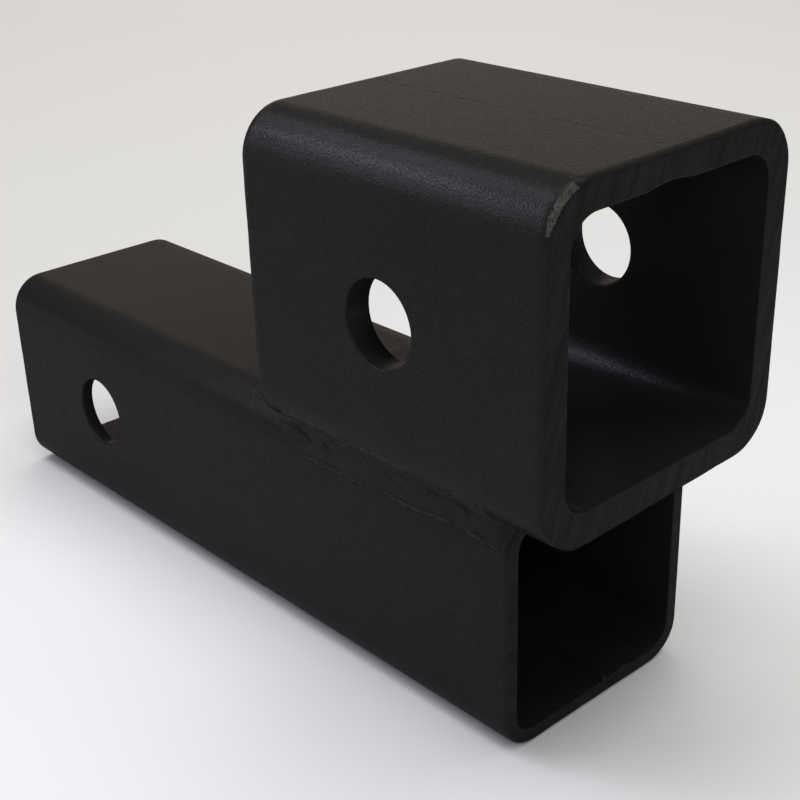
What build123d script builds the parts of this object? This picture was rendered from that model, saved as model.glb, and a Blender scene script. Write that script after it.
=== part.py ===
from build123d import *
import os
from math import ceil, cos, exp, hypot, pi, radians, sin, sqrt

# Hitch receiver extender: a short receiver tube welded on top of a longer shank tube.
# Millimetres. X runs along the tubes to the receiver's mouth, Y across them, Z up.
# The origin lies under the middle of the whole part, on the shank's bottom face.

# Shank: the square tube that slides into the vehicle's own receiver
shank_size = 50.8
shank_wall = 3.05
shank_corner_radius = 8.0
shank_inside_radius = 4.95
shank_length = 172.8
shank_hole_setback = 37.2  # insertion end to the hole's axis
shank_hole_rise = 0.9  # hole's axis above the tube's middle

# Receiver: the heavier square tube that takes the next shank, which is the same size as this one
socket_clearance = 1.2
receiver_wall = 5.75
receiver_corner_radius = 9.5
receiver_inside_radius = 5.9
receiver_length = 73.8
receiver_overhang = 13.0  # mouth beyond the shank's front end
receiver_hole_setback = 37.9  # mouth to the hole's axis

# Hitch pin, whose holes go through both side walls of each tube
pin_diameter = 15.875
pin_clearance = 0.795

# Broken outer edges of the sawn ends
shank_edge_break = 0.5
receiver_edge_break = 0.5

# Mill seams: a trough scarfed inside the receiver's top wall, a fin and a hump left on the shank's floor
scarf_width = 12.0
scarf_depth = 0.7
scarf_offset = -1.7
fin_offset = 3.2
fin_height = 1.6
fin_foot_width = 1.5
fin_tip_width = 0.5
fin_lean = 0.5
hump_offset = 8.4
hump_width = 5.5
hump_height = 0.5

# Weld beads in the two flare grooves between the tubes
root_gap = 0.5  # the groove is filled in to where it is this narrow
lower_toe_angle = 12.0  # toe on the shank's corner, up from its side face
upper_toe_angle = 42.0  # toe on the receiver's corner, up from its bottom face
bead_hollow = 0.55  # dip of the bead's face between its toes
ripple_pitch = 5.0
ripple_depth = 0.14
ripple_bow = 1.3  # how far a ripple's middle lies ahead of its ends
nose_length = 4.0  # run over which the bead grows to full size at its rear end
crater_setback = 5.2  # rear end to the dish where the arc was broken off
crater_depth = 0.7
crater_radius = 2.2

# Places along and up the part that follow from the sizes above
receiver_size = shank_size + socket_clearance + 2 * receiver_wall
overall_length = shank_length + receiver_overhang
shank_rear = -overall_length / 2
shank_front = shank_rear + shank_length
receiver_front = overall_length / 2
receiver_rear = receiver_front - receiver_length
shank_middle = shank_size / 2
receiver_middle = shank_size + receiver_size / 2
shank_flat_half = shank_size / 2 - shank_corner_radius
receiver_flat_half = receiver_size / 2 - receiver_corner_radius
bead_rear = receiver_rear + receiver_edge_break
bead_front = shank_front - shank_edge_break

# The near-side groove's section, as (Y, Z): the bead's toes on the two rounded corners, and its root,
# where the groove opens first
lower_turn = radians(lower_toe_angle)
upper_turn = radians(upper_toe_angle)
lower_toe = Vector(
    -shank_flat_half - shank_corner_radius * cos(lower_turn),
    shank_size - shank_corner_radius * (1 - sin(lower_turn)),
)
upper_toe = Vector(
    -receiver_flat_half - receiver_corner_radius * sin(upper_turn),
    shank_size + receiver_corner_radius * (1 - cos(upper_turn)),
)
groove_half, groove_radius = min(
    (shank_flat_half, shank_corner_radius),
    (receiver_flat_half, receiver_corner_radius),
)
root_reach = sqrt(groove_radius**2 - (groove_radius - root_gap) ** 2)
root = Vector(-groove_half - root_reach, shank_size)
bead_width = (upper_toe - lower_toe).length
up_face = (upper_toe - lower_toe).normalized()
into_bead = Vector(up_face.Y, -up_face.X)
root_depth = (root - lower_toe).dot(into_bead)


def section_plane(x, z):
    """Plane square to the tubes, with its own x along Y and its own y along Z."""
    return Plane(origin=(x, 0, z), x_dir=(0, 1, 0), z_dir=(1, 0, 0))


def square_bar(size, corner_radius, length, rear, middle):
    return extrude(section_plane(rear, middle) * RectangleRounded(size, size, corner_radius), length)


def square_tube(size, wall, corner_radius, inside_radius, edge_break, length, rear, middle):
    """Square tube with its sawn ends' outer edges broken."""
    bar = square_bar(size, corner_radius, length, rear, middle)
    bar = chamfer(bar.faces().filter_by(Axis.X).edges(), edge_break)
    return bar - square_bar(size - 2 * wall, inside_radius, length, rear, middle)


def pin_hole(x, z, size):
    """Cutter for one pin hole, through both side walls of a tube of this size."""
    radius = (pin_diameter + pin_clearance) / 2
    return Pos(x, 0, z) * Rot(90, 0, 0) * Cylinder(radius, 2 * size)


def arched_strip(width, height, offset, base, rear, length):
    """Strip along a tube, with a flat base and an arched top."""
    left = (offset - width / 2, base)
    right = (offset + width / 2, base)
    outline = [ThreePointArc(left, (offset, base + height), right), Line(right, left)]
    return extrude(section_plane(rear, 0) * make_face(outline), length)


def seam_fin():
    """Thin fin of flash that leans over, on the shank's floor."""
    tip_height = shank_wall + fin_height
    tip_offset = fin_offset - fin_lean
    outline = Polyline(
        (fin_offset - fin_foot_width / 2, shank_wall),
        (fin_offset + fin_foot_width / 2, shank_wall),
        (tip_offset + fin_tip_width / 2, tip_height),
        (tip_offset - fin_tip_width / 2, tip_height),
        close=True,
    )
    return extrude(section_plane(shank_rear, 0) * make_face(outline), shank_length)


def shank_tube():
    tube = square_tube(
        shank_size,
        shank_wall,
        shank_corner_radius,
        shank_inside_radius,
        shank_edge_break,
        shank_length,
        shank_rear,
        shank_middle,
    )
    tube += seam_fin()
    tube += arched_strip(hump_width, hump_height, hump_offset, shank_wall, shank_rear, shank_length)
    return tube - pin_hole(shank_rear + shank_hole_setback, shank_middle + shank_hole_rise, shank_size)


def receiver_tube():
    tube = square_tube(
        receiver_size,
        receiver_wall,
        receiver_corner_radius,
        receiver_inside_radius,
        receiver_edge_break,
        receiver_length,
        receiver_rear,
        receiver_middle,
    )
    ceiling = shank_size + receiver_size - receiver_wall
    tube -= arched_strip(scarf_width, scarf_depth, scarf_offset, ceiling, receiver_rear, receiver_length)
    return tube - pin_hole(receiver_front - receiver_hole_setback, receiver_middle, receiver_size)


def bead_face_depth(x, share):
    """Depth of the bead's face behind the straight line from toe to toe, at a share of its width."""
    from_toes = 1 - (2 * share - 1) ** 2
    hollow = bead_hollow * from_toes
    ripple_phase = (x - bead_rear - ripple_bow * from_toes) / ripple_pitch
    ripple = ripple_depth * from_toes * (1 - cos(2 * pi * ripple_phase)) / 2
    nose = root_depth * max(0, 1 - (x - bead_rear) / nose_length) ** 2
    from_crater = hypot(x - bead_rear - crater_setback, (share - 0.5) * bead_width)
    crater = crater_depth * exp(-((from_crater / crater_radius) ** 2))
    return hollow + ripple + nose + crater


def space_before_bead():
    """Cutter that leaves the bead's rippled face: a spline sheet, run past the toes and thickened outwards."""
    samples_across = 9
    step = ripple_pitch / 8
    past_toe = 0.25
    rows = []
    for i in range(-1, ceil((bead_front - bead_rear) / step) + 2):
        x = bead_rear + i * step
        row = []
        for j in range(samples_across):
            share = (1 + 2 * past_toe) * j / (samples_across - 1) - past_toe
            point = lower_toe + up_face * (share * bead_width) + into_bead * bead_face_depth(x, share)
            row.append((x, point.X, point.Y))
        rows.append(row)
    sheet = Face.make_surface_from_array_of_points(rows)
    return Solid.extrude(sheet, Vector(0, -into_bead.X, -into_bead.Y) * 2 * bead_width)


def weld_bead():
    """Near-side bead: fills the groove between the tubes, from its root to its rippled face."""
    spare = bead_width / 8
    foot = lower_toe - (up_face + into_bead) * spare
    head = upper_toe + (up_face - into_bead) * spare
    outline = Polyline((root.X, foot.Y), (foot.X, foot.Y), (head.X, head.Y), (root.X, head.Y), close=True)
    bead = extrude(section_plane(bead_rear, 0) * make_face(outline), bead_front - bead_rear)
    bead -= square_bar(shank_size, shank_corner_radius, shank_length, shank_rear, shank_middle)
    bead -= square_bar(receiver_size, receiver_corner_radius, receiver_length, receiver_rear, receiver_middle)
    return bead - space_before_bead()


near_side_weld = weld_bead()
pieces = {
    "shank_tube": shank_tube(),
    "receiver_tube": receiver_tube(),
    "near_side_weld": near_side_weld,
    "far_side_weld": mirror(near_side_weld, Plane.XZ),
}
os.makedirs("parts", exist_ok=True)
for name, piece in pieces.items():
    export_step(piece, f"parts/{name}.step")
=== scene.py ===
from math import atan2, cos, exp, pi, radians, sin, sqrt, tan
import bmesh
import bpy
import numpy as np
from mathutils import Matrix, Quaternion, Vector, noise


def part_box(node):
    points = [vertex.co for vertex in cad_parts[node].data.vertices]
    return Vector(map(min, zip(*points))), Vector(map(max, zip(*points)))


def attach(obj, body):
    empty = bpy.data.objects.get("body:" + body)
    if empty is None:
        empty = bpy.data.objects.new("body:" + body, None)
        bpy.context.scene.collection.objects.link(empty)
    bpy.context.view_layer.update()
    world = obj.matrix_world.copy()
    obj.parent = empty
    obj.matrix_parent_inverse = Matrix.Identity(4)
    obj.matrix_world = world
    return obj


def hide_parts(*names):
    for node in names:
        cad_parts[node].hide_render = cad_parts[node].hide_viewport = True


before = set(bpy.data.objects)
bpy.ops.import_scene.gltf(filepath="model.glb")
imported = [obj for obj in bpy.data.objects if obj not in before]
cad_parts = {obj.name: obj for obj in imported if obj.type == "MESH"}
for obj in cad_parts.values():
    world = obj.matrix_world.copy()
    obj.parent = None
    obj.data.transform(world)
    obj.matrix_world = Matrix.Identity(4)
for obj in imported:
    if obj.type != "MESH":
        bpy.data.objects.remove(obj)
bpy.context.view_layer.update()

# Shank: 2 in square steel tube with 3 mm walls, rolled and seam-welded in the mill, sawn to length and
# drilled through both side walls for the hitch pin. The mill's weld flash still stands on its floor, and
# a fine-grained black powder coat covers it inside and out.
shank_low, shank_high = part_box("shank_tube")
shank_size = shank_high.z - shank_low.z
shank_wall = 0.00305
shank_radius = 0.008
shank_flat = shank_size / 2 - shank_radius
shank_edge_break = 0.0005
shank_end_run = 0.0012
shank_hole_setback = 0.0372
shank_hole_rise = 0.0009
shank_hole = (shank_low.x + shank_hole_setback, shank_size / 2 + shank_hole_rise)
shank_patch = 0.012
pin_hole_radius = 0.008335
fin_profile = (
    (0.00238, 0), (0.00246, 0.00125), (0.00256, 0.00155), (0.00275, 0.0016), (0.00293, 0.00145),
    (0.0032, 0.001), (0.0035, 0.00045), (0.0038, 0.00012), (0.0041, 0),
)
hump_middle = 0.0084
hump_half = 0.00275
hump_height = 0.0005
floor_side, far_side, ceiling_side, near_side, round_corner = 0, 1, 2, 3, -1
outer_wall, sawn_end, inner_wall, rubbed_edge = range(4)


def wobble(x, seed):
    """Smooth noise along a line, about -0.5 to 0.5, with features about 1 long."""
    return noise.noise(Vector((x, 7.31 * seed, 3.17 * seed)))


def places_about(middle, half, steps=6):
    """Evenly spaced places, from a half width before the middle to a half width after it."""
    return [middle + half * step / steps for step in range(-steps, steps + 1)]


def places_between(start, end, wanted):
    """Places from start to end, about a step apart, with the wanted ones and a support line by each end."""
    step = 0.003
    support = 0.0004
    spare = 0.35 * step
    kept = [*wanted, start, start + support, end - support, end]
    count = max(2, round((end - start) / step))
    spaced = [start + (end - start) * i / count for i in range(count + 1)]
    return sorted(kept + [place for place in spaced if min(abs(place - k) for k in kept) > spare])


def square_section(flat_half, floor=(), far=(), ceiling=(), near=()):
    """Stations round a square tube, from the floor towards +Y: where the corner radius is set off from, the
    way it is set off, and the side. Each side also has the stations that are named for it here."""
    corner_steps = 12
    centres, facings, sides = [], [], []
    turned = (((0, -1), (1, 0)), ((1, 0), (0, 1)), ((0, 1), (-1, 0)), ((-1, 0), (0, -1)))
    for side, wanted in enumerate((floor, far, ceiling, near)):
        facing, along = np.array(turned[side], float)
        for place in places_between(-flat_half, flat_half, wanted):
            centres.append(facing * flat_half + along * place)
            facings.append(facing)
            sides.append(side)
        for step in range(1, corner_steps):
            turn = pi / 2 * step / corner_steps
            centres.append((facing + along) * flat_half)
            facings.append(facing * cos(turn) + along * sin(turn))
            sides.append(round_corner)
    return np.array(centres), np.array(facings), np.array(sides)


def across_side(section, side):
    """Y of the stations on the floor or on the ceiling, with all the others put far away."""
    centres, _, sides = section
    far_away = 1.0
    return np.where(sides == side, centres[:, 0], far_away)


def worn_edge(section, end, edge_break, seed):
    """The edge of a sawn end: where the end lies at each station, and how far back and in its break reaches,
    here more and there less."""
    centres, facings, _ = section
    wear = 0.3
    wear_spread = 0.006
    around = (centres + facings * shank_radius) / wear_spread
    reach = np.array([edge_break * (1 + wear * noise.noise(Vector((seed, y, z)))) for y, z in around])
    return np.full(len(reach), end), reach, reach


def square_tube(middle, outer_corner, inner_corner, section, places, rear_edge, front_edge, rubbed,
                pin_hole, patch_half, inside, outside):
    """Skin of a square tube as one closed surface, with broken edges at its sawn ends and eased pin holes.
    A corner is the half width of the flats beside it and its radius. rubbed tells the stations where the
    front edge is rubbed bare. inside(x) and outside(x) give metal added inside the wall and taken off
    outside it. Returns the vertices, the faces and their zones."""
    centres, facings, sides = section
    outer_flat, outer_radius = outer_corner
    inner_flat, inner_radius = inner_corner
    hole_x, hole_z = pin_hole
    bore_ease = 0.00025
    hole_ease = 0.0004
    hole_support = 0.0004
    bevel_power = 1.8
    end_shares = (0.12, 0.5, 0.88)
    ease_steps = 6
    turns = [pi / 2 * step / ease_steps for step in range(ease_steps + 1)]
    outline = centres + facings * outer_radius
    half = outline[:, 0].max()
    wall = outer_flat + outer_radius - inner_flat - inner_radius
    count = len(sides)
    length = len(places)

    def outer_line(inset):
        return centres + facings * (outer_radius - inset)[:, None]

    def inner_line(added):
        return centres * inner_flat / outer_flat + facings * (inner_radius - added)[:, None]

    def end_rails(edge, inward):
        """Rails over one sawn end, from the outer wall round to the inner wall."""
        end, back, inset = edge
        added = inside(end.mean())
        brink = outer_line(inset)
        mouth = inner_line(added - bore_ease)
        over = []
        for turn in turns:
            broken = outer_line(inset * (1 - cos(turn) ** bevel_power))
            over.append((end + inward * back * (1 - sin(turn) ** bevel_power), broken))
        for share in end_shares:
            over.append((end, brink + (mouth - brink) * share))
        for turn in turns:
            eased = inner_line(added - bore_ease * (1 - sin(turn)))
            over.append((end + inward * bore_ease * (1 - cos(turn)), eased))
        return over

    # Rails run forward along the outer wall, over the front end, back along the inner wall and over the rear
    rails = [(np.full(count, x), outer_line(outside(x))) for x in places]
    rails += end_rails(front_edge, -1)
    inner_start = len(rails)
    rails += [(np.full(count, x), inner_line(inside(x))) for x in reversed(places)]
    rails += reversed(end_rails(rear_edge, 1))
    sawn = [sawn_end] * (len(end_shares) + 1)
    strips = [outer_wall] * length + [rubbed_edge] * ease_steps + sawn
    strips += [inner_wall] * (length + 1 + 2 * ease_steps) + sawn + [outer_wall] * (ease_steps + 1)
    vertices = []
    for x, around in rails:
        vertices += [(x[k], around[k, 0], around[k, 1] + middle) for k in range(count)]

    # A square patch of each side wall is left open, inside and out, for the pin hole
    reaches = [abs(abs(x - hole_x) - patch_half) for x in places]
    first, last = sorted(np.argsort(reaches)[:2])
    open_faces = set()
    bores = []
    for side, way in ((far_side, 1), (near_side, -1)):
        over_hole = (sides == side) & (np.abs(outline[:, 1] + middle - hole_z) < patch_half * 1.001)
        low, *_, high = np.flatnonzero(over_hole)
        edge = [(i, low) for i in range(first, last)] + [(last, k) for k in range(low, high)]
        edge += [(i, high) for i in range(last, first, -1)] + [(first, k) for k in range(high, low, -1)]
        bores.append((way, edge))
        for k in range(low, high):
            open_faces.update((i, k) for i in range(first, last))
            open_faces.update((inner_start + length - 2 - i, k) for i in range(first, last))

    faces = []
    zones = []
    for j, strip in enumerate(strips):
        after = (j + 1) % len(rails)
        for k in range(count):
            if (j, k) in open_faces:
                continue
            beside = (k + 1) % count
            zones.append(outer_wall if strip == rubbed_edge and not rubbed[k] else strip)
            faces.append((j * count + k, j * count + beside, after * count + beside, after * count + k))

    def join(loop, ring, zone):
        faces.extend((loop[n - 1], loop[n], ring[n], ring[n - 1]) for n in range(len(loop)))
        zones.extend([zone] * len(loop))

    # Rings lead from the patch's outer edge through the bore to its inner edge: radius added, and depth
    eased = [(hole_ease * (1 - sin(turn)), hole_ease * (1 - cos(turn))) for turn in turns]
    rings = [(hole_ease + hole_support, 0.0), *eased, (0.0, wall / 2)]
    rings += [(added, wall - depth) for added, depth in reversed(eased)] + [(hole_ease + hole_support, wall)]
    for way, edge in bores:
        loop = [i * count + k for i, k in edge]
        bearings = [atan2(vertices[v][2] - hole_z, vertices[v][0] - hole_x) for v in loop]
        for added, depth in rings:
            radius = pin_hole_radius + added
            y = way * (half - depth)
            ring = range(len(vertices), len(vertices) + len(loop))
            vertices += [(hole_x + radius * cos(b), y, hole_z + radius * sin(b)) for b in bearings]
            join(loop, ring, outer_wall if depth < wall / 2 else inner_wall)
            loop = ring
        join(loop, [(inner_start + length - 1 - i) * count + k for i, k in edge], inner_wall)
    return vertices, faces, zones


def new_piece(name, skin_parts, materials, node):
    """Smooth-shaded piece in the part's frame that stands for a CAD node, with one material for each zone."""
    vertices, faces, zones = skin_parts
    mesh = bpy.data.meshes.new(name)
    mesh.from_pydata(vertices, [], faces)
    for material in materials:
        mesh.materials.append(material)
    mesh.polygons.foreach_set("material_index", np.array(zones, np.int32))
    skin = bmesh.new()
    skin.from_mesh(mesh)
    bmesh.ops.recalc_face_normals(skin, faces=skin.faces)
    skin.to_mesh(mesh)
    skin.free()
    mesh.shade_smooth()
    piece = bpy.data.objects.new(name, mesh)
    bpy.context.scene.collection.objects.link(piece)
    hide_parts(node)
    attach(piece, "root")


class Socket:
    """A socket of a material's nodes. Arithmetic on it adds Math nodes."""

    def __init__(self, tree, socket=None):
        self.tree = tree
        self.socket = socket

    def node(self, kind, settings, inputs, output=0):
        """Adds a node: its settings first, then the values or links of its inputs. Gives back one output."""
        made = self.tree.nodes.new("ShaderNode" + kind)
        for name, value in settings.items():
            setattr(made, name, value)
        for name, value in inputs.items():
            if isinstance(value, Socket):
                self.tree.links.new(value.socket, made.inputs[name])
            else:
                made.inputs[name].default_value = value
        return Socket(self.tree, made.outputs[output]) if made.outputs else None

    def mottle(self, scale, detail, roughness):
        """Noise over the places that this socket gives."""
        inputs = {"Vector": self, "Scale": scale, "Detail": detail, "Roughness": roughness}
        return self.node("TexNoise", {}, inputs)

    def tint(self, first, second):
        """Colour between two colours, with this socket as the share of the second."""
        return self.node("Mix", {"data_type": "RGBA"}, {0: self, 6: first, 7: second}, 2)

    def maths(self, operation, first, second):
        return self.node("Math", {"operation": operation}, {0: first, 1: second})

    def __add__(self, other):
        return self.maths("ADD", self, other)

    def __radd__(self, other):
        return self.maths("ADD", other, self)

    def __sub__(self, other):
        return self.maths("SUBTRACT", self, other)

    def __rsub__(self, other):
        return self.maths("SUBTRACT", other, self)

    def __mul__(self, other):
        return self.maths("MULTIPLY", self, other)

    def __rmul__(self, other):
        return self.maths("MULTIPLY", other, self)


def black_coat(name, dark, pale, grain_height, saw_turn=None, saw_step=None, bare_and_glint_specks=None):
    """Black powder coat over steel: patchy tone, orange peel and a fine grain that sparkles in a highlight.
    On a sawn end the blade's marks show through: their turn about X, and their spread along X, Y and Z.
    Where the coat is rubbed, specks of bare metal show in their own colour. Lighter specks can show in a
    colour of their own: bare metal where the coat is rubbed, and painted glints on the weld's lips."""
    peel_height = 0.00002
    saw_mark_height = 0.0005
    material = bpy.data.materials.new(name)
    material.use_nodes = True
    material.node_tree.nodes.clear()
    place = Socket(material.node_tree).node("TexCoord", {}, {}, "Object")
    patches = place.mottle(70.0, 4.0, 0.6)
    peel = place.mottle(500.0, 2.0, 0.5)
    grain = place.mottle(2500.0, 1.0, 0.5)
    height = peel * peel_height + grain * grain_height
    tone = 0.6 * patches + 0.35 * grain + 0.03
    roughness = 0.16 + 0.1 * grain + 0.06 * patches
    gloss = 0.22 * grain + 0.035
    if saw_step:
        turned = {"Vector": place, "Rotation": (saw_turn, 0, 0), "Scale": saw_step}
        cuts = place.node("Mapping", {"vector_type": "TEXTURE"}, turned).mottle(1.0, 3.0, 0.6)
        height = height + cuts * patches * saw_mark_height
        tone = 0.8 * patches + 2.2 * cuts - 1.0
        roughness = roughness + 0.15
    colour = tone.tint((*dark, 1), (*pale, 1))
    # Specks in their own colour: bare metal on the rubbed coat, painted glints on the weld's lips.
    if bare_and_glint_specks:
        specks = 3.0 * grain + 2.0 * peel - 1.9
        colour = specks.tint(colour, (*bare_and_glint_specks, 1))
    bump = place.node("Bump", {}, {"Strength": 1.0, "Distance": 1.0, "Height": height})
    matte = {"Base Color": colour, "Roughness": 0.9, "Specular IOR Level": 0.0, "Normal": bump}
    glossy = {"Base Color": colour, "Roughness": roughness, "Normal": bump}
    matte_coat = place.node("BsdfPrincipled", {}, matte)
    glossy_coat = place.node("BsdfPrincipled", {}, glossy)
    coat = place.node("MixShader", {}, {0: gloss, 1: matte_coat, 2: glossy_coat})
    place.node("OutputMaterial", {}, {"Surface": coat})
    return material


fin_places, fin_heights = zip(*fin_profile)
shank_section = square_section(
    shank_flat,
    floor=(*fin_places, *places_about(hump_middle, hump_half, 4)),
    far=places_about(shank_hole_rise, shank_patch),
    near=places_about(-shank_hole_rise, shank_patch),
)
shank_across = across_side(shank_section, floor_side)
shank_fin = np.interp(shank_across, fin_places, fin_heights, 0, 0)
shank_hump = hump_height * np.maximum(0, 1 - ((shank_across - hump_middle) / hump_half) ** 2)
shank_smooth = np.zeros(len(shank_across))


def flash_inside(x):
    """The mill's weld flash on the shank's floor, ragged along its length: a leaning fin by a low hump."""
    return shank_fin * (1 + 0.5 * wobble(x / 0.003, 5)) + shank_hump * (1 + 0.6 * wobble(x / 0.006, 6))


shank_skin = square_tube(
    middle=shank_size / 2,
    outer_corner=(shank_flat, shank_radius),
    inner_corner=(shank_flat, shank_radius - shank_wall),
    section=shank_section,
    places=places_between(
        shank_low.x + shank_end_run, shank_high.x - shank_end_run, places_about(shank_hole[0], shank_patch)
    ),
    rear_edge=worn_edge(shank_section, shank_low.x, shank_edge_break, 2),
    front_edge=worn_edge(shank_section, shank_high.x, shank_edge_break, 1),
    rubbed=shank_smooth > 0,
    pin_hole=shank_hole,
    patch_half=shank_patch,
    inside=flash_inside,
    outside=lambda x: shank_smooth,
)
tube_coat = black_coat("black_coat_on_tube", (0.0091, 0.0091, 0.0084), (0.0167, 0.0167, 0.0154), 0.00007)
# The inner walls take a lighter, purple-tinged copy of the coat: painted light in the tubes' shaded insides.
inner_coat = black_coat(
    "black_coat_inside_painted_light", (0.0102, 0.0091, 0.0097), (0.0186, 0.0167, 0.0178), 0.00006
)
# The shank's sawn ends take their own copy of the coat with the blade's marks, set lighter to brighten the
# end face: painted light.
shank_end_coat = black_coat(
    "black_coat_on_shank_saw_cut", (0.0075, 0.0068, 0.0064), (0.018, 0.0163, 0.0152), 0.00006,
    saw_turn=radians(-24), saw_step=(1, 0.008, 0.0024),
)
new_piece("shank", shank_skin, (tube_coat, shank_end_coat, inner_coat), "shank_tube")

# Receiver: a short length of 2.5 in square steel tube with 5.75 mm walls, the socket for the next shank.
# Its mill seam was planed off inside, which left a shallow trough in the top wall, and shows as a fine
# line along the top. It is sawn, deburred, cross-drilled and powder coated like the shank.
receiver_low, receiver_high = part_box("receiver_tube")
receiver_size = receiver_high.z - receiver_low.z
receiver_wall = 0.00575
receiver_radius = 0.0095
receiver_inside_radius = 0.0059
receiver_edge_break = 0.0004
receiver_end_run = 0.0016
receiver_middle = receiver_low.z + receiver_size / 2
receiver_hole_setback = 0.0379
receiver_hole = (receiver_high.x - receiver_hole_setback, receiver_middle)
receiver_patch = 0.0125
receiver_flat = receiver_size / 2 - receiver_radius
receiver_inside_flat = receiver_size / 2 - receiver_wall - receiver_inside_radius
inside_scale = receiver_inside_flat / receiver_flat
seam_y = -0.0005
seam_half = 0.0005
seam_depth = 0.00005
scarf_y = -0.0017
scarf_half = 0.006
scarf_depth = 0.0007

# The ceiling's stations run towards -Y, and those of the trough are set off from the inner wall
seam_places = places_about(-seam_y, 2 * seam_half, 4)
scarf_places = [place / inside_scale for place in places_about(-scarf_y, scarf_half)]
receiver_section = square_section(
    receiver_flat,
    far=places_about(0, receiver_patch),
    ceiling=(*seam_places, *scarf_places),
    near=places_about(0, receiver_patch),
)
receiver_across = across_side(receiver_section, ceiling_side)
scarf_across = (receiver_across * inside_scale - scarf_y) / scarf_half
receiver_scarf = scarf_depth * np.maximum(0, 1 - scarf_across**2)
receiver_seam = seam_depth * np.exp(-(((receiver_across - seam_y) / seam_half) ** 2))


def scarf_inside(x):
    """The trough that the seam's planing left in the top wall, uneven along its length."""
    return -receiver_scarf * (1 + 0.5 * wobble(x / 0.005, 11))


def seam_outside(x):
    """The fine groove of the seam along the top."""
    return receiver_seam * (0.8 + 0.8 * wobble(x / 0.004, 12))


# The mouth's cut runs a little out of square. Its near top corner has been ground to a broader bevel, and
# the saw's burr still hangs along the bottom edge. Turns are in degrees from the top towards the near side.
mouth_lead = 0.00045
ground_bevel = 0.00095
ground_start, ground_fade_in = 4, 12
ground_end, ground_fade_out = 70, 8
burr_reach = 0.0006
burr_end, burr_fade = 0.03, 0.05
burr_notch, burr_notch_pitch = 0.2, 0.0012
receiver_centres, receiver_facings, _ = receiver_section
mouth_y = receiver_centres[:, 0] + receiver_facings[:, 0] * receiver_radius
mouth_turn = np.degrees(np.arctan2(-receiver_facings[:, 0], receiver_facings[:, 1]))
ground = np.clip((mouth_turn - ground_start) / ground_fade_in, 0, 1)
ground *= np.clip((ground_end - mouth_turn) / ground_fade_out, 0, 1)
burr = np.maximum(0, -receiver_facings[:, 1]) ** 8 * np.clip((burr_end - mouth_y) / burr_fade, 0, 1)
burr *= [1 + burr_notch * wobble(y / burr_notch_pitch, 14) for y in mouth_y]
mouth_x, mouth_back, mouth_inset = worn_edge(receiver_section, receiver_high.x, receiver_edge_break, 1)
mouth_x = mouth_x + mouth_lead * (0.5 - mouth_y / receiver_size)
mouth_back = mouth_back + (ground_bevel - mouth_back) * ground
mouth_inset = mouth_inset + (ground_bevel - mouth_inset) * ground
mouth_inset = mouth_inset - (receiver_edge_break + burr_reach) * burr
receiver_skin = square_tube(
    middle=receiver_middle,
    outer_corner=(receiver_flat, receiver_radius),
    inner_corner=(receiver_inside_flat, receiver_inside_radius),
    section=receiver_section,
    places=places_between(
        receiver_low.x + receiver_end_run, receiver_high.x - receiver_end_run,
        places_about(receiver_hole[0], receiver_patch),
    ),
    rear_edge=worn_edge(receiver_section, receiver_low.x, receiver_edge_break, 2),
    front_edge=(mouth_x, mouth_back, mouth_inset),
    rubbed=ground > 0.3,
    pin_hole=receiver_hole,
    patch_half=receiver_patch,
    inside=scarf_inside,
    outside=seam_outside,
)
# The receiver's sawn ends take a darker copy of the coat with the blade's marks: painted shade, set to hold
# back the key strip's light on the mouth's end face.
receiver_end_coat = black_coat(
    "black_coat_on_receiver_saw_cut", (0.005, 0.0045, 0.0042), (0.0145, 0.0129, 0.012), 0.00006,
    saw_turn=radians(-20), saw_step=(1, 0.0022, 0.016),
)
rubbed_coat = black_coat(
    "rubbed_black_coat", (0.01, 0.0097, 0.0092), (0.02, 0.0195, 0.0185), 0.00006, bare_and_glint_specks=(0.062, 0.061, 0.057)
)
receiver_coats = (tube_coat, receiver_end_coat, inner_coat, rubbed_coat)
new_piece("receiver", receiver_skin, receiver_coats, "receiver_tube")

# Weld beads: one run along each side, in the groove between the two tubes' rounded corners, laid from the
# mouth's end to the rear, where the arc was broken off in a crater. Each is a row of overlapping ripples
# under the same powder coat, with rough lips at its edges, a thin wash above them and a few pinholes.
# The lips and the wash are given paler copies of the coat: painted highlight along the toe lines, and
# painted light over the shaded crease where the upper toe meets the receiver's corner.
bead_rear = receiver_low.x - 0.0012
bead_front = shank_high.x - 0.0001
groove_z = shank_size
root_y = -0.02018
lower_toe_rear = 0.0433
lower_toe_front = 0.0449
lower_toe_wander, lower_toe_scallop = 0.0007, 0.00012
upper_toe_turn, upper_toe_wander = radians(41), 0.16
bead_hollow = 0.00035
ripple_pitch = 0.0028
ripple_height = 0.000025
ripple_bow = 0.0014
lump_height, lump_length, lump_width = 0.0003, 0.005, 0.004
grit_height, grit_size = 0.00004, 0.0012
lower_lip_share, lower_lip_half, lower_lip_height = 0.05, 0.0007, 0.0004
upper_lip_share, upper_lip_half, upper_lip_height = 0.96, 0.0011, 0.0002
nose_lip_setback, nose_lip_half, nose_lip_height = 0.0014, 0.001, 0.0003
nose_run, nose_drop = 0.002, 0.0044
front_run, front_drop = 0.0025, 0.0022
# The wash is a thin layer on the receiver's corner; the paler coat on it is painted light.
wash_share, wash_thickness, wash_lip_height = 0.97, 0.00006, 0.00025
wash_growth = 0.005
deepest_overlap = 0.0004
bead_face, lip_highlight_zone, wash_highlight_zone = range(3)

# Crater and the crescent before it: distance from the rear end, half length, half width and depth
bead_dishes = ((0.0068, 0.0026, 0.0022, 0.001), (0.0151, 0.0009, 0.0018, 0.0005))

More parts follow.
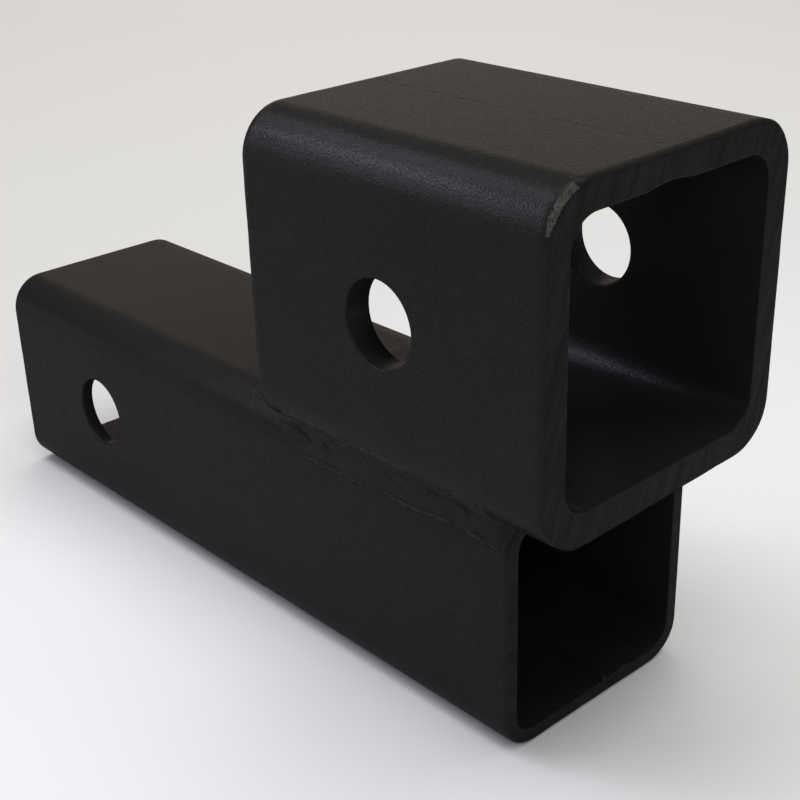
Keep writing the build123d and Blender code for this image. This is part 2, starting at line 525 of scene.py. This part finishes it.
# Pinholes: place along X, share of the way up the bead's face, and radius
near_pinholes = (
    (0.0427, 0.04, 0.0004), (0.0603, 0.05, 0.00035), (0.0618, 0.06, 0.0004), (0.0735, 0.76, 0.0003)
)
far_pinholes = ((0.0352, 0.07, 0.0004), (0.0551, 0.8, 0.0003), (0.0684, 0.05, 0.00035))
shank_corner = np.array([-shank_flat, shank_size - shank_radius])
receiver_corner = np.array([-receiver_flat, groove_z + receiver_radius])


def held(value):
    """A value held between 0 and 1."""
    return min(1, max(0, value))


def rolled(across):
    """Height of a half-round roll, 1 high at 0 and nothing beyond 1."""
    return sqrt(max(0, 1 - across**2))


def ridge(across):
    """Height of a ridge with soft feet, 1 high at 0 and nothing beyond 1."""
    return cos(pi / 2 * min(1, abs(across))) ** 2


def by_receiver_corner(reach, turn):
    """A point (Y, Z) off the middle of the receiver's lower near corner, turned up from its bottom face."""
    return receiver_corner - reach * np.array([sin(turn), cos(turn)])


def bead_toes(x, lobe, seed):
    """The bead's toes on the shank's and on the receiver's corner, as (Y, Z), and the latter's turn there."""
    run = (x - bead_rear) / (bead_front - bead_rear)
    lower_z = lower_toe_rear + (lower_toe_front - lower_toe_rear) * run
    lower_z -= lower_toe_scallop * lobe + lower_toe_wander * wobble(x / 0.009, seed + 1)
    rise = max(0, lower_z - shank_corner[1])
    lower = np.array([shank_corner[0] - sqrt(shank_radius**2 - rise**2), lower_z])
    turn = upper_toe_turn + upper_toe_wander * wobble(x / 0.006, seed + 2)
    return lower, by_receiver_corner(receiver_radius, turn), turn


def bead_point(x, share, side, seed, pinholes):
    """A point of the bead's skin, at a share of the way from its lower toe to its upper toe, and how far it
    is on a lip or on the wash, each up to about 1; these pick the paler coats painted as highlight there.
    Past a share of 1 the wash lies on the receiver."""
    rise = min(share, 1 + 0.02 * max(0, share - 1))
    from_toes = 1 - (2 * rise - 1) ** 2
    phase = (x - ripple_bow * from_toes) / ripple_pitch + 0.9 * wobble(x / 0.007, seed)
    lobe = abs(cos(pi * phase))
    lower, upper, turn = bead_toes(x, lobe, seed)
    width = np.linalg.norm(upper - lower)
    up = (upper - lower) / width
    inward = np.array([up[1], -up[0]])
    rough = noise.fractal(Vector((x / grit_size, share * width / grit_size, seed)), 0.9, 2.0, 3)
    lumpy = noise.noise(Vector((x / lump_length, share * width / lump_width, seed)))

    # The face, hollow and rippled between its lips, falls away at the nose and at the front end
    nose = bead_rear + 0.02 * max(0, 0.45 - share) ** 2
    ended = 1 - rolled(max(0, (x - bead_front) / front_run + 1))
    lower_lip = ridge((share - lower_lip_share) * width / lower_lip_half)
    lower_lip *= 0.6 + 0.3 * lobe + 1.6 * lumpy + 0.5 * rough
    upper_lip = ridge((share - upper_lip_share - 0.04 * lumpy) * width / upper_lip_half)
    upper_lip *= max(0, 0.55 + rough)
    nose_lip = ridge((x - nose - nose_lip_setback) / nose_lip_half) * held(4 * share) * (0.6 + 0.8 * rough)
    depth = bead_hollow * from_toes - ripple_height * lobe * (1 + 1.5 * lumpy) * min(1, 3 * from_toes)
    depth += grit_height * rough + lump_height * lumpy * from_toes
    depth -= lower_lip_height * lower_lip + upper_lip_height * upper_lip + nose_lip_height * nose_lip
    depth += nose_drop * (1 - rolled(1 - held((x - nose) / nose_run))) + front_drop * ended
    for setback, half_length, half_width, dish_depth in bead_dishes:
        away = ((x - bead_rear - setback) / half_length) ** 2 + ((share - 0.5) * width / half_width) ** 2
        depth += dish_depth * exp(-away)
    for pin_x, pin_share, pin_radius in pinholes:
        away = ((x - pin_x) ** 2 + ((share - pin_share) * width) ** 2) / pin_radius**2
        depth += 1.2 * pin_radius * exp(-away)
    point = lower + up * (rise * width) + inward * depth

    # The wash feathers out from the upper lip and sinks into the corner at its edge and at the bead's ends
    grown = min(1, max(0.05, (x - receiver_low.x) / wash_growth))
    reach = receiver_radius + wash_thickness + wash_lip_height * upper_lip
    reach -= 0.0004 * max(0, (share - 1.34) / 0.1) ** 1.5 + 0.0005 * max(ended, 1 - grown)
    on_corner = by_receiver_corner(reach, turn + (share - 1) * width / receiver_radius * grown)
    feather = held((share - 0.84) / 0.16) ** 2 * held((x - receiver_low.x) / 0.001 + 0.6)
    point += (on_corner - point) * feather
    # How far the point is on the wash, where the bead takes a paler coat: painted light over the shaded
    # crease and the corner below the receiver.
    wash_highlight = held(20 * (share - wash_share)) * (0.85 - 1.2 * max(0, share - 1.05) + 0.5 * rough) * grown

    # The skin sinks into either tube's rounded corner only as far as the overlap that hides the joint
    for corner, radius in ((shank_corner, shank_radius), (receiver_corner, receiver_radius)):
        out = point - corner
        reach = np.linalg.norm(out)
        if reach < radius - deepest_overlap:
            point = corner + out * (radius - deepest_overlap) / reach
    return (x, point[0] * side, point[1]), max(lower_lip, upper_lip, nose_lip), wash_highlight


def weld_bead(name, side, seed, pinholes, node):
    """One bead, as a closed mesh from its face back to the groove's root. side is 1 near the camera and -1 on
    the far side."""
    toe_step = 0.009
    shares = [*np.arange(-0.06, 0.15, toe_step), *np.arange(0.16, 0.74, 0.03)]
    shares += [*np.arange(0.75, 1.1, toe_step), *np.arange(1.11, 1.45, 0.02)]
    along = np.linspace(bead_rear, bead_front, 300)
    points = []
    for x in along:
        points += [bead_point(x, share, side, seed, pinholes) for share in shares]
        points.append(((x, root_y * side, groove_z), 0.0, 0.0))
    ring = len(shares) + 1
    faces = []
    for i in range(len(along) - 1):
        for j in range(ring):
            beside = (j + 1) % ring
            faces.append((i * ring + j, i * ring + beside, (i + 1) * ring + beside, (i + 1) * ring + j))
    for start in (0, (len(along) - 1) * ring):
        faces += [(start + ring - 1, start + j, start + j + 1) for j in range(ring - 2)]
    zones = []
    for face in faces:
        lip = sum(points[v][1] for v in face) / len(face)
        wash_highlight = sum(points[v][2] for v in face) / len(face)
        # Faces on the wash and on the lips take the paler coats: painted highlight along the toes and painted
        # light over the crease.
        zones.append(wash_highlight_zone if wash_highlight > 0.5 else lip_highlight_zone if lip > 0.35 else bead_face)
    bead_skin = ([point for point, _, _ in points], faces, zones)
    new_piece(name, bead_skin, weld_coats, node)


# The weld's coat, then paler copies for its lips and its wash: painted highlight along the toe lines, with
# lighter specks on the lips painted as glints, and painted light over the shaded crease under the receiver's
# corner.
weld_coats = (
    black_coat("black_coat_on_weld", (0.0078, 0.0078, 0.007), (0.0146, 0.0146, 0.0132), 0.00008),
    black_coat(
        "black_coat_on_weld_lips_painted_highlight", (0.0105, 0.0105, 0.0098), (0.0185, 0.0184, 0.0174), 0.00008,
        bare_and_glint_specks=(0.03, 0.0297, 0.0283),
    ),
    black_coat("black_coat_on_weld_wash_painted_highlight", (0.019, 0.019, 0.0178), (0.03, 0.03, 0.0281), 0.00007),
)
weld_bead("near_weld", 1, 21, near_pinholes, "near_side_weld")
weld_bead("far_weld", -1, 34, far_pinholes, "far_side_weld")

# Studio: the part stands on a broad pale floor under a large overhead softbox, with a warm panel behind it
# that the top faces pick up. Gridded cool boxes to the left, with a small lamp between them, light the
# receiver's long rounded corner and bring out the grain of its coat.
floor_half = 3.0
floor_drop = 0.0001
floor_ways = ((-1, -1), (1, -1), (1, 1), (-1, 1))
floor_corners = [(x * floor_half, y * floor_half, -floor_drop) for x, y in floor_ways]
floor_mesh = bpy.data.meshes.new("floor")
floor_mesh.from_pydata(floor_corners, [], [(0, 1, 2, 3)])
floor = bpy.data.objects.new("floor", floor_mesh)
bpy.context.scene.collection.objects.link(floor)
floor_paint = bpy.data.materials.new("pale_floor")
floor_paint.use_nodes = True
floor_finish = floor_paint.node_tree.nodes["Principled BSDF"].inputs
floor_finish["Base Color"].default_value = (0.8, 0.8, 0.8, 1)
floor_finish["Roughness"].default_value = 0.9
floor_finish["Specular IOR Level"].default_value = 0.0
floor_mesh.materials.append(floor_paint)

world = bpy.data.worlds.new("studio")
world.use_nodes = True
world_light = world.node_tree.nodes["Background"].inputs
world_light["Color"].default_value = (1, 1, 1, 1)
world_light["Strength"].default_value = 0.3
bpy.context.scene.world = world


def softbox(name, place, width, height, turn, radiance, colour, target=(0, 0, 0.055), spread=pi):
    """Area lamp aimed at a target, turned about its own axis. Its face shines at this radiance straight
    ahead, and a grid before it can keep its light from spreading to the floor."""
    lamp = bpy.data.lights.new(name, "AREA")
    lamp.shape = "RECTANGLE"
    lamp.size = width
    lamp.size_y = height
    lamp.spread = spread
    lamp.energy = radiance * pi * width * height * (1 - spread / 2 / tan(spread / 2))
    lamp.color = colour
    box = bpy.data.objects.new(name, lamp)
    box.location = place
    box.rotation_mode = "QUATERNION"
    aim = (Vector(target) - Vector(place)).to_track_quat("-Z", "Y")
    box.rotation_quaternion = aim @ Quaternion((0, 0, 1), turn)
    box.visible_camera = False
    bpy.context.scene.collection.objects.link(box)


softbox("overhead_softbox", (0, 0.1, 1.35), 1.3, 1.3, 0, 2.5, (1, 0.985, 0.965))
softbox("warm_panel_behind", (-0.94, 0.79, 0.34), 1.1, 0.44, 0, 1.2, (1, 0.8, 0.66))
gridded = {"target": (0.055, receiver_low.y + 0.002, receiver_high.z - 0.002), "spread": radians(84)}
softbox("cool_box_left", (-0.155, -0.213, 0.245), 0.18, 0.18, radians(27), 4.3, (0.8, 0.79, 1), **gridded)
softbox("cool_lamp_left", (-0.155, -0.15, 0.27), 0.05, 0.05, 0, 17, (0.8, 0.79, 1), **gridded)
softbox("cool_box_upper_left", (-0.16, -0.075, 0.345), 0.15, 0.15, 0, 5, (0.82, 0.81, 1), **gridded)
softbox("low_panel_left", (-0.9, -0.68, 0.06), 1.2, 0.12, 0, 0.9, (1, 0.98, 0.95))
softbox("key_strip_right", (0.708, -0.231, 0.656), 0.07, 0.5, radians(-45), 12, (1, 0.99, 0.97))

# Camera: at the photograph's angle, a little above the part and off its near front corner. It is rolled
# slightly, and its lens is that of a short telephoto.
azimuth = radians(48.048)
elevation = radians(25.393)
roll = radians(-1.738)
camera_place = (0.226583, -0.181188, 0.176237)
back = Vector((sin(azimuth) * cos(elevation), -cos(azimuth) * cos(elevation), sin(elevation)))
level = Vector((cos(azimuth), sin(azimuth), 0))
upright = back.cross(level)
right = level * cos(roll) + upright * sin(roll)
top = upright * cos(roll) - level * sin(roll)
camera_data = bpy.data.cameras.new("camera")
camera_data.sensor_width = 36
camera_data.lens = 64.41
camera_data.clip_start = 0.01
camera = bpy.data.objects.new("camera", camera_data)
camera.matrix_world = Matrix.Translation(camera_place) @ Matrix((right, top, back)).transposed().to_4x4()
bpy.context.scene.collection.objects.link(camera)
bpy.context.scene.camera = camera
bpy.context.scene.view_settings.view_transform = "Standard"
